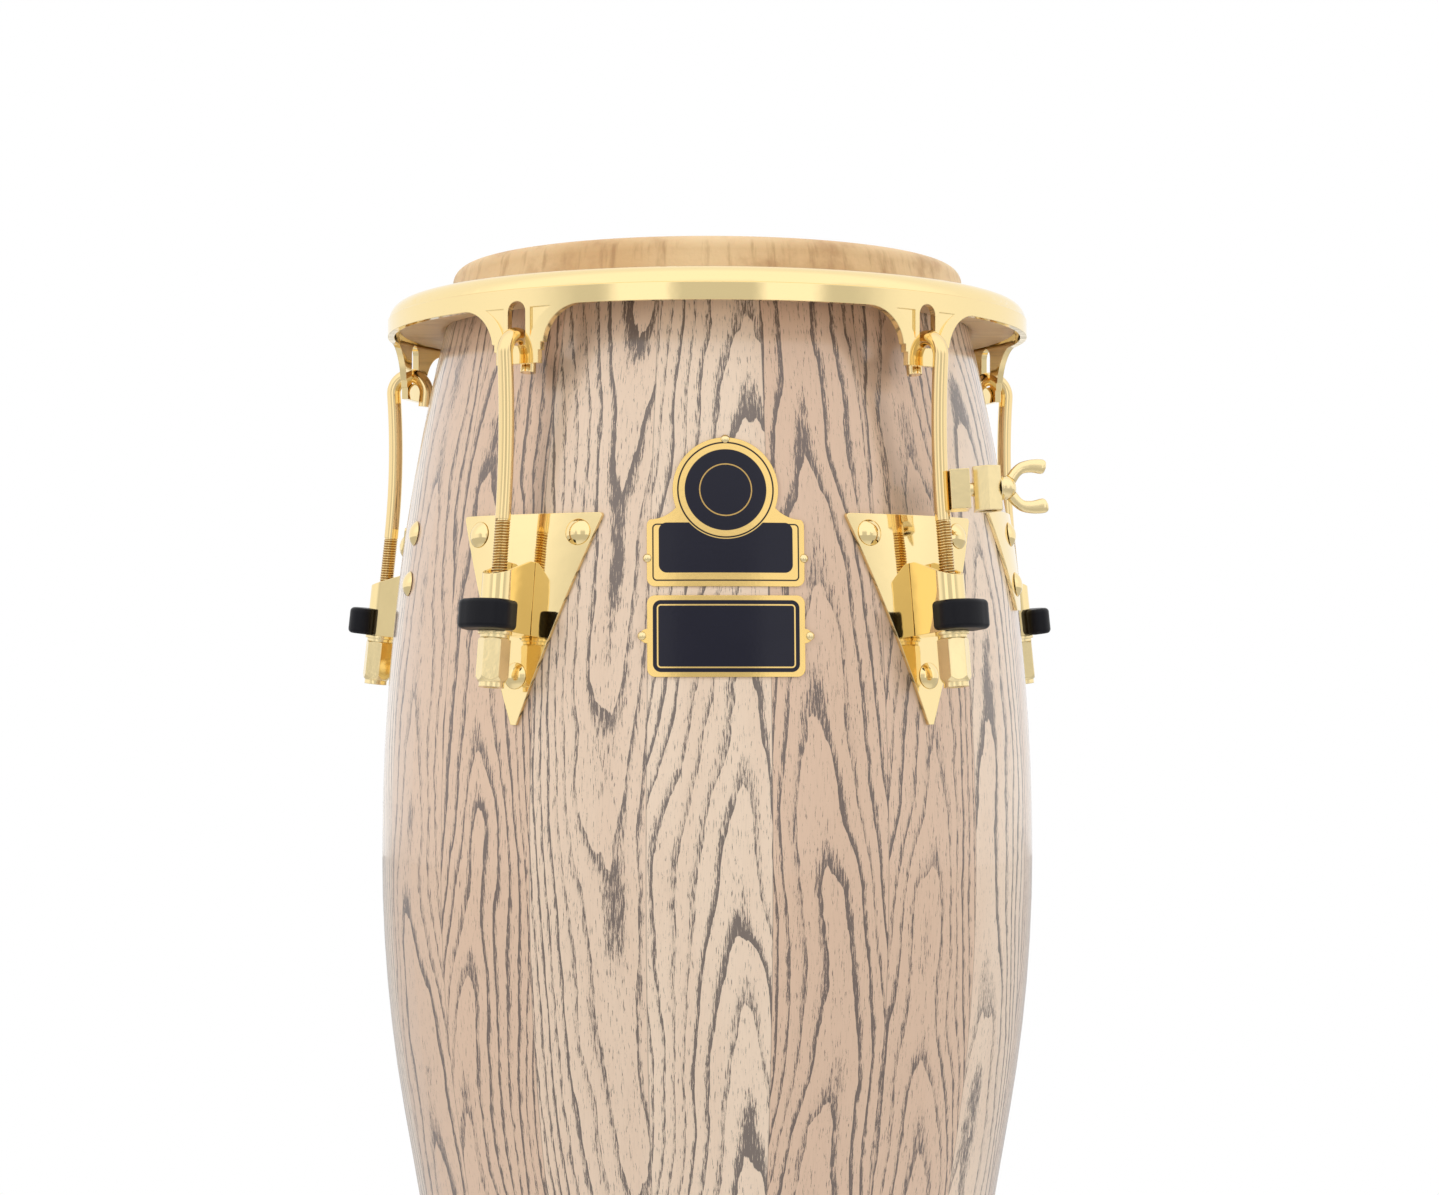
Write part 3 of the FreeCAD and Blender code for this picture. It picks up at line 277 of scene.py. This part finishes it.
def rounded_box(g, x, z, half_x, half_z, corner):
    """Signed distance to a rounded rectangle in mm, below 0 inside."""
    dx = g.minus(g.math("ABSOLUTE", x), half_x - corner)
    dz = g.minus(g.math("ABSOLUTE", z), half_z - corner)
    px, pz = g.math("MAXIMUM", dx, 0.0), g.math("MAXIMUM", dz, 0.0)
    outside = g.math("SQRT", g.sum(g.times(px, px), g.times(pz, pz)))
    inside = g.math("MINIMUM", g.math("MAXIMUM", dx, dz), 0.0)
    return g.minus(g.sum(outside, inside), corner)


def band(g, distance, low, high, soft=0.12):
    """1 where distance lies between low and high."""
    return g.times(g.step(distance, low - soft, low + soft), g.step(distance, high - soft, high + soft, 1.0, 0.0))


def badge(name, masks):
    """Gold sheet with dark enamel where the masks are 1."""
    g = metal(name, BRASS, 0.16, 0.00004, 500.0, 0.0003)
    _, x, y, z = g.place()
    x, z = g.times(x, 1000.0), g.times(z, 1000.0)
    front = g.step(y, -0.1, -0.11)
    colour, shine = BRASS, 1.0
    for mask, enamel in masks(g, x, z):
        mask = g.times(mask, front)
        colour = g.blend(mask, colour, enamel)
        shine = g.times(shine, g.math("SUBTRACT", 1.0, mask))
    g.set(Base_Color=colour, Metallic=shine, Specular_IOR_Level=0.3)
    return g.material


def upper_masks(g, x, z):
    """A dark field and a roundel above it, with a line round each."""
    bottom, circle_rise = 582.6, 48.2
    half_width, half_height = 39.2, 17.0
    field = rounded_box(g, x, g.minus(z, bottom + 19.3), 33.3, 12.5, 4.0)
    rise = g.minus(z, bottom + circle_rise)
    away = g.math("SQRT", g.sum(g.times(x, x), g.times(rise, rise)))
    clear = g.step(away, 24.4, 24.7)
    plate = rounded_box(g, x, g.minus(z, bottom + half_height), half_width, half_height, 5.0)
    rim_line = g.times(band(g, plate, -3.4, -2.7), g.step(away, 26.6, 27.0))
    return [
        (g.times(rim_line, clear), LINE),
        (g.times(g.step(field, -0.12, 0.12, 1.0, 0.0), clear), NAVY),
        (g.step(away, 20.2, 20.5, 1.0, 0.0), NAVY),
        (band(g, away, 23.3, 24.1), LINE),
        (band(g, away, 12.6, 13.2), srgb(196, 160, 92)),
    ]


def lower_masks(g, x, z):
    """A dark field with a gold line inside its edge."""
    middle = 558.0
    outer = rounded_box(g, x, g.minus(z, middle), 36.4, 17.8, 4.0)
    frame_line = band(g, outer, -2.7, -2.0)
    enamel = g.times(g.step(outer, -0.12, 0.12, 1.0, 0.0), g.math("SUBTRACT", 1.0, frame_line))
    return [(enamel, NAVY)]


upper_badge = badge("upper_badge", upper_masks)
lower_badge = badge("lower_badge", lower_masks)

# ---------------------------------------------------------------- the CAD nodes' materials

LOOKS = {
    "shell_staves": ash_wood, "top_reinforcing_hoop": hoop_wood, "bottom_reinforcing_hoop": hoop_wood,
    "rubber_foot": black_rubber, "drum_head": rawhide, "head_tuck": rawhide, "flesh_hoop": inner_steel,
    "lug_bolt_washers": inner_steel, "lug_bolt_nuts": inner_steel, "side_bolt_washers": inner_steel,
    "side_bolt_nuts": inner_steel, "clamp_jaw": gold_casting, "clamp_barrel": gold_casting,
    "wing_screw": gold_casting, "upper_badge": upper_badge, "lower_badge": lower_badge,
    "badge_screws": gold_casting,
}
PREFIXES = {"hook_rod": gold_rod, "shell_protector": black_rubber, "seat_washer": gold_casting,
            "tuning_nut": gold_casting}


def look(name):
    for prefix, material in PREFIXES.items():
        if name.startswith(prefix):
            return material
    return LOOKS.get(name, gold_plate)


for name, node in nodes.items():
    node.data.materials.clear()
    node.data.materials.append(look(name))

# ---------------------------------------------------------------- meshes


def make(name, vertices, faces, material, body, smooth=True):
    """A mesh piece, riding on a body if one is named."""
    mesh = bpy.data.meshes.new(name)
    mesh.from_pydata([tuple(v) for v in vertices], [], faces)
    mesh.update()
    if smooth:
        mesh.shade_smooth()
    thing = bpy.data.objects.new(name, mesh)
    bpy.context.scene.collection.objects.link(thing)
    mesh.materials.append(material)
    if body:
        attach(thing, body)
    return thing


def shell_radius(height):
    """The shell's outer radius above its belly, in mm: an arc through the belly and the top edge."""
    rise, inset = SHELL_TOP - BELLY_HEIGHT, BELLY_RADIUS - TOP_RADIUS
    curve = (rise ** 2 + inset ** 2) / (2 * inset)
    return BELLY_RADIUS - curve + math.sqrt(curve ** 2 - (height - BELLY_HEIGHT) ** 2)


def arc(centre, radius, start, end, steps):
    """Points on an arc from start to end, in degrees."""
    for k in range(steps + 1):
        angle = math.radians(start + (end - start) * k / steps)
        yield (centre[0] + radius * math.cos(angle), centre[1] + radius * math.sin(angle))


def smooth_run(points, steps):
    """A Catmull-Rom curve through the points."""
    padded = [points[0], *points, points[-1]]
    for a, b, c, d in zip(padded, padded[1:], padded[2:], padded[3:]):
        for k in range(steps):
            t = k / steps
            yield tuple(
                0.5 * (2 * b[i] + (c[i] - a[i]) * t + (2 * a[i] - 5 * b[i] + 4 * c[i] - d[i]) * t ** 2
                       + (3 * b[i] - a[i] - 3 * c[i] + d[i]) * t ** 3) for i in (0, 1))
    yield points[-1]


def turned(profile, segments):
    """A closed profile of (radius, height) in mm, turned about the drum's axis."""
    vertices, faces = [], []
    for k in range(segments):
        angle = 2 * math.pi * k / segments
        vertices += [(r * math.cos(angle) * MM, r * math.sin(angle) * MM, z * MM) for r, z in profile]
    count = len(profile)
    for k in range(segments):
        here, there = k * count, (k + 1) % segments * count
        for i in range(count):
            j = (i + 1) % count
            faces.append((here + i, there + i, there + j, here + j))
    return vertices, faces


def skin():
    """The head as one skin: over the bearing edge, down the collar and out under the flesh hoop."""
    gap, thick = 0.1, 2.2
    top = SHELL_TOP + gap + thick
    edge = SHELL_TOP - EDGE_ROUND
    round_centre = (shell_radius(edge) - EDGE_ROUND, edge)
    outside = [(0.4, top), (40, top), (90, top), (round_centre[0], top)]
    outside += list(arc(round_centre, EDGE_ROUND + gap + thick, 88, 0, 14))
    outside += [(shell_radius(z) + gap + thick, z) for z in (750, 746, 742, 739)]
    outside += list(smooth_run([(shell_radius(736) + 2.4, 736.0), (144.4, 732.6), (147.6, 729.9),
                                (152.5, 729.1), (160.0, 729.1), (169.0, 729.1)], 5))
    outside += [(170.3, 728.6), (170.3, 727.6)]
    inside = [(169.0, 727.1)]
    inside += list(smooth_run([(160.0, 727.0), (151.0, 727.1), (146.4, 728.0), (143.4, 730.4),
                               (shell_radius(734) + 0.2, 734.0)], 5))
    inside += [(shell_radius(z) + gap, z) for z in (740, 746, 750)]
    inside += list(arc(round_centre, EDGE_ROUND + gap, 0, 88, 10))
    inside += [(round_centre[0], top - thick), (90, top - thick), (0.4, top - thick)]
    vertices, faces = turned(outside + inside, 180)
    head = make("head_skin", vertices, faces, rawhide, None)
    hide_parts("drum_head", "head_tuck")
    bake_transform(head)


skin()


def joint_frame(origin, up, outward):
    """A frame at origin with +Z along up and +X as near to outward as that allows."""
    up = Vector(up).normalized()
    side = up.cross(Vector(outward)).normalized()
    place = Matrix((side.cross(up), side, up)).transposed().to_4x4()
    place.translation = Vector(origin)
    return place


def lug_matrix(lug):
    """The rod's own frame at a lug: +X outward, +Z up the rod."""
    joint = JOINTS[f"nut_{lug}_turn"]
    x, y, _ = joint["pos_m"]
    return joint_frame(joint["pos_m"], joint["axis"], (x, y, 0.0))


def clamp_matrix():
    """The accessory clamp's own frame: +Z up the rod it grips, +X along the wing screw."""
    swivel, wing = JOINTS["clamp_swivel"], JOINTS["wing_turn"]
    return joint_frame(swivel["pos_m"], swivel["axis"], wing["axis"])


def plan_arc(start, end, radius, turn, steps=8):
    """Points from start to end on an arc that turns left or right."""
    chord = math.dist(start, end)
    half = math.asin(min(1.0, chord / 2 / radius))
    middle = ((start[0] + end[0]) / 2, (start[1] + end[1]) / 2)
    along = ((end[0] - start[0]) / chord, (end[1] - start[1]) / chord)
    side = 1 if turn == "left" else -1
    offset = radius * math.cos(half) * side
    centre = (middle[0] - along[1] * offset, middle[1] + along[0] * offset)
    first = math.atan2(start[1] - centre[1], start[0] - centre[0])
    return [(centre[0] + radius * math.cos(first + side * 2 * half * k / steps),
             centre[1] + radius * math.sin(first + side * 2 * half * k / steps)) for k in range(1, steps + 1)]


def bumper(lug):
    """A rubber block round the cradle, bowed in front, with soft upper and lower edges."""
    inner = 16.4 / 2 + 0.05
    wide, back, front = 14.8, 2.5, 16.8
    mouth = math.sqrt(inner ** 2 - back ** 2)
    corner, corner_radius, front_radius = 7, 8, 22
    plan = [(back, -mouth), (back, -wide), (front - corner, -wide)]
    plan += plan_arc(plan[-1], (front, corner - wide), corner_radius, "left")
    plan += plan_arc(plan[-1], (front, wide - corner), front_radius, "left")
    plan += plan_arc(plan[-1], (front - corner, wide), corner_radius, "left")
    plan += [(back, wide), (back, mouth)]
    plan += plan_arc(plan[-1], (inner, 0), inner, "right", 10)
    plan += plan_arc(plan[-1], (back, -mouth), inner, "right", 10)[:-1]
    outer = plan[:plan.index((back, wide)) + 1]
    rest = plan[len(outer):]
    normals = []
    for before, after in zip([outer[0], *outer[:-1]], [*outer[1:], outer[-1]]):
        run = math.dist(before, after)
        normals.append(((after[1] - before[1]) / run, (before[0] - after[0]) / run))
    bottom, top, soft, steps = -20.0, -5.2, 2.4, 6
    rings = []
    for k in range(steps + 1):
        turn = math.pi / 2 * k / steps
        rings.append((soft * (1 - math.sin(turn)), bottom + soft * (1 - math.cos(turn))))
    rings += [(inset, bottom + top - height) for inset, height in reversed(rings)]
    vertices, faces = [], []
    for inset, height in rings:
        vertices += [(x - nx * inset, y - ny * inset, height) for (x, y), (nx, ny) in zip(outer, normals)]
        vertices += [(x, y, height) for x, y in rest]
    count = len(plan)
    for level in range(len(rings) - 1):
        here, above = level * count, (level + 1) * count
        faces += [(here + i, here + (i + 1) % count, above + (i + 1) % count, above + i) for i in range(count)]
    faces += [tuple(reversed(range(count))), tuple(range(len(vertices) - count, len(vertices)))]
    place = lug_matrix(lug)
    vertices = [place @ (Vector(v) * MM) for v in vertices]
    thing = make(f"bumper_{lug}", vertices, faces, black_rubber, "shell")
    thing.modifiers.new("normals", "WEIGHTED_NORMAL")
    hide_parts(f"shell_protector_{lug}")


def painted_groove_shade():
    """The rod's plating with painted shade in the thread's grooves: the mesh attribute crest is 1 on the ridge."""
    g = Graph("gold_thread_painted_shade")
    crest = g.add("Attribute", {}, output=2, attribute_name="crest")
    # painted shade: the grooves are coloured dark brown-gold and the crests pale gold
    shade = g.blend(g.step(crest, 0.15, 0.75), srgb(168, 122, 58), srgb(252, 226, 166))
    g.set(Base_Color=shade, Metallic=1.0, Roughness=0.22)
    return g.material


gold_thread_painted_shade = painted_groove_shade()


def thread(lug):
    """The rod's thread as one helical ridge that covers the CAD's root cylinder."""
    pitch, root, crest = 1.411, 3.64, 3.97
    low, high, steps = -19.0, 36.0, 24
    section = ((root, -0.7, 0.0), (root, -0.45, 0.0), (crest, -0.1, 1.0), (crest, 0.1, 1.0), (root, 0.45, 0.0),
               (root, 0.7, 0.0))
    vertices, faces, crests = [], [], []
    count = int((high - low) / pitch * steps)
    place = lug_matrix(lug)
    for k in range(count + 1):
        angle = 2 * math.pi * k / steps
        level = low + pitch * k / steps
        for radius, rise, share in section:
            point = (radius * math.cos(angle), radius * math.sin(angle), level + rise)
            vertices.append(place @ (Vector(point) * MM))
            crests.append(share)
        if k:
            here, before = len(section) * k, len(section) * (k - 1)
            faces += [(before + i, here + i, here + i + 1, before + i + 1) for i in range(len(section) - 1)]
    thing = make(f"rod_thread_{lug}", vertices, faces, gold_thread_painted_shade, "tension_ring", smooth=False)
    crest_values = thing.data.attributes.new("crest", "FLOAT", "POINT")
    crest_values.data.foreach_set("value", crests)


def tube(path, widths, depths, sides=20):
    """A closed rounded bar along a path in the clamp's XZ plane, with a half width and half depth at each point."""
    vertices, faces = [], []
    for k, (x, z) in enumerate(path):
        before, after = path[max(k - 1, 0)], path[min(k + 1, len(path) - 1)]
        run = math.dist(before, after)
        across = (-(after[1] - before[1]) / run, (after[0] - before[0]) / run)
        for side in range(sides):
            angle = 2 * math.pi * side / sides
            wide, deep = widths[k] * math.cos(angle), depths[k] * math.sin(angle)
            vertices.append((x + across[0] * wide, deep, z + across[1] * wide))
        if k:
            here, past = k * sides, (k - 1) * sides
            faces += [(past + i, past + (i + 1) % sides, here + (i + 1) % sides, here + i) for i in range(sides)]
    faces += [tuple(range(sides)), tuple(reversed(range(len(vertices) - sides, len(vertices))))]
    return vertices, faces


def turned_bar(profile, sides=40):
    """A bar turned about the clamp's X axis from (x, radius) points."""
    vertices, faces = [], []
    for k, (x, radius) in enumerate(profile):
        vertices += [(x, radius * math.cos(2 * math.pi * i / sides), radius * math.sin(2 * math.pi * i / sides))
                     for i in range(sides)]
        if k:
            here, past = k * sides, (k - 1) * sides
            faces += [(past + i, past + (i + 1) % sides, here + (i + 1) % sides, here + i) for i in range(sides)]
    faces += [tuple(range(sides)), tuple(reversed(range(len(vertices) - sides, len(vertices))))]
    return vertices, faces


def wing_screw():
    """Thumb screw with two smooth horns, cast as one with its round collar. Root is how far out the horns start."""
    root, collar_length = 36.15, 6.0
    collar = root - collar_length
    vertices, faces = [], []

    def join(part):
        shift = len(vertices)
        vertices.extend(part[0])
        faces.extend(tuple(i + shift for i in face) for face in part[1])

    for side in (1, -1):
        bones = list(smooth_run([(-3.2, 1.5), (-0.6, 4.4), (1.8, 7.4), (4.8, 9.6), (9.6, 10.4), (14.2, 10.0),
                                 (17.2, 9.3)], 5))
        last = len(bones) - 1
        widths, depths = [], []
        for k in range(last + 1):
            share = k / last
            end = math.sqrt(max(0.02, 1 - max(0.0, (share - 0.86) / 0.14) ** 2))
            widths.append((3.3 - 0.7 * math.sin(math.pi * min(1.0, share * 1.25)) + 0.5 * share) * end)
            depths.append((3.0 - 1.25 * min(1.0, share * 1.6)) * end)
        join(tube([(root + x, side * z) for x, z in bones], widths, depths))
    hub = [(collar, 5.2), (collar + 0.5, 6.0), (collar + 1.4, 6.2), (collar + 4.2, 5.9), (root + 0.4, 4.4),
           (root + 1.4, 2.2), (root + 1.6, 0.3)]
    join(turned_bar(hub))
    join(turned_bar([(collar - 3.4, 0.3), (collar - 3.4, 3.0), (collar + 0.4, 3.0), (collar + 0.4, 0.3)]))
    place = clamp_matrix()
    vertices = [place @ (Vector(v) * MM) for v in vertices]
    thing = make("thumb_screw", vertices, faces, gold_casting, "wing")
    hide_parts("wing_screw")


wing_screw()

for lug in LUGS:
    bumper(lug)
    thread(lug)

# ---------------------------------------------------------------- floor, world, lamps and camera

scene = bpy.context.scene


def floor():
    """Pale and plain near the drum, where it holds the shadow, and as white as the background further off."""
    g = Graph("floor")
    g.set(Base_Color=(0.82, 0.82, 0.82), Roughness=0.9, Specular_IOR_Level=0.1)
    _, x, y, _ = g.place()
    away = g.math("SQRT", g.sum(g.times(x, x), g.times(y, y)))
    path = g.tree.nodes.new("ShaderNodeLightPath")
    seen = g.math("MAXIMUM", path.outputs["Is Camera Ray"],
                  g.math("MAXIMUM", path.outputs["Is Glossy Ray"], path.outputs["Is Transmission Ray"]))
    level = g.sum(path.outputs["Is Camera Ray"], g.times(g.minus(1.0, path.outputs["Is Camera Ray"]), 0.6))
    white = g.add("Emission", {"Color": (1.0, 1.0, 1.0), "Strength": level})
    mix = g.tree.nodes.new("ShaderNodeMixShader")
    g.put(mix.inputs[0], g.times(seen, g.step(away, 0.45, 1.1)))
    g.tree.links.new(g.surface.outputs[0], mix.inputs[1])
    g.tree.links.new(white, mix.inputs[2])
    g.tree.links.new(mix.outputs[0], g.out.inputs[0])
    mesh = bpy.data.meshes.new("floor")
    size, below_foot = 6.0, 0.0005
    mesh.from_pydata([(-size, -size, 0), (size, -size, 0), (size, size, 0), (-size, size, 0)], [], [(0, 1, 2, 3)])
    mesh.materials.append(g.material)
    thing = bpy.data.objects.new("floor", mesh)
    scene.collection.objects.link(thing)
    thing.location.z = -below_foot


def studio():
    """White to the camera; in mirrors white behind and a dimmer room with tall soft boxes in front."""
    world = bpy.data.worlds.new("studio")
    scene.world = world
    world.use_nodes = True
    tree = world.node_tree
    tree.nodes.clear()
    new = tree.nodes.new
    link = tree.links.new

    def math_node(operation, a, b):
        node = new("ShaderNodeMath")
        node.operation = operation
        for socket, value in zip(node.inputs, (a, b)):
            if isinstance(value, bpy.types.NodeSocket):
                link(value, socket)
            else:
                socket.default_value = value
        return node.outputs[0]

    path = new("ShaderNodeLightPath")
    place = new("ShaderNodeTexCoord")
    split = new("ShaderNodeSeparateXYZ")
    link(place.outputs["Generated"], split.inputs[0])

    def ramp(value, low, high, start, end):
        node = new("ShaderNodeMapRange")
        node.interpolation_type = "SMOOTHSTEP"
        link(value, node.inputs["Value"])
        for name, number in (("From Min", low), ("From Max", high), ("To Min", start), ("To Max", end)):
            node.inputs[name].default_value = number
        return node.outputs[0]

    sideways = math_node("ABSOLUTE", split.outputs[0], 0.0)
    boxes = math_node("MULTIPLY", ramp(sideways, 0.2, 0.34, 0.0, 0.6), ramp(sideways, 0.5, 0.66, 1.0, 0.0))
    edges = ramp(sideways, 0.72, 0.95, 0.0, 0.35)
    overhead = ramp(split.outputs[2], 0.15, 0.55, 0.0, 0.6)
    below = ramp(split.outputs[2], -0.5, 0.02, -0.2, 0.0)
    room = math_node("ADD", math_node("ADD", boxes, edges), math_node("ADD", overhead, below))
    room = math_node("MINIMUM", math_node("ADD", room, 0.68), 1.15)
    in_front = ramp(split.outputs[1], -0.2, 0.25, 1.0, 0.0)
    darker = math_node("MULTIPLY", math_node("SUBTRACT", 1.0, room), in_front)
    behind = math_node("SUBTRACT", 1.0, darker)
    seen = path.outputs["Is Camera Ray"]
    mirrored = math_node("MAXIMUM", path.outputs["Is Glossy Ray"], path.outputs["Is Transmission Ray"])
    glossy = math_node("MULTIPLY", mirrored, behind)
    diffuse = math_node("MULTIPLY", math_node("SUBTRACT", 1.0, mirrored), 0.52)
    other = math_node("MULTIPLY", math_node("ADD", glossy, diffuse), math_node("SUBTRACT", 1.0, seen))
    back = new("ShaderNodeBackground")
    back.inputs["Color"].default_value = (1, 1, 1, 1)
    link(math_node("ADD", seen, other), back.inputs["Strength"])
    out = new("ShaderNodeOutputWorld")
    link(back.outputs[0], out.inputs[0])


def lamp(name, place, size_x, size_y, watts, aim=(0, 0, 0.52)):
    """A rectangular lamp that mirrors don't show."""
    data = bpy.data.lights.new(name, "AREA")
    data.shape = "RECTANGLE"
    data.size, data.size_y = size_x, size_y
    data.energy = watts
    thing = bpy.data.objects.new(name, data)
    scene.collection.objects.link(thing)
    thing.location = place
    thing.rotation_euler = (Vector(aim) - Vector(place)).to_track_quat("-Z", "Y").to_euler()
    thing.visible_glossy = False


def camera():
    """Level and nearly square to the badges."""
    data = bpy.data.cameras.new("camera")
    data.sensor_width = 36.0
    data.lens = 67.78
    data.shift_x, data.shift_y = 0.0085, 0.0448
    thing = bpy.data.objects.new("camera", data)
    scene.collection.objects.link(thing)
    turn, reach, height = math.radians(3.16), 1.511, 0.5452
    thing.location = (-reach * math.sin(turn), -reach * math.cos(turn), height)
    thing.rotation_euler = (math.pi / 2, 0, -turn)
    scene.camera = thing


floor()
studio()
lamp("left_softbox", (-1.5, -1.2, 1.3), 0.9, 1.5, 19)
lamp("right_softbox", (1.7, -1.0, 1.0), 0.6, 1.5, 15)
lamp("top_softbox", (0.1, 0.2, 2.2), 1.4, 1.4, 12)
camera()
scene.view_settings.view_transform = "Standard"
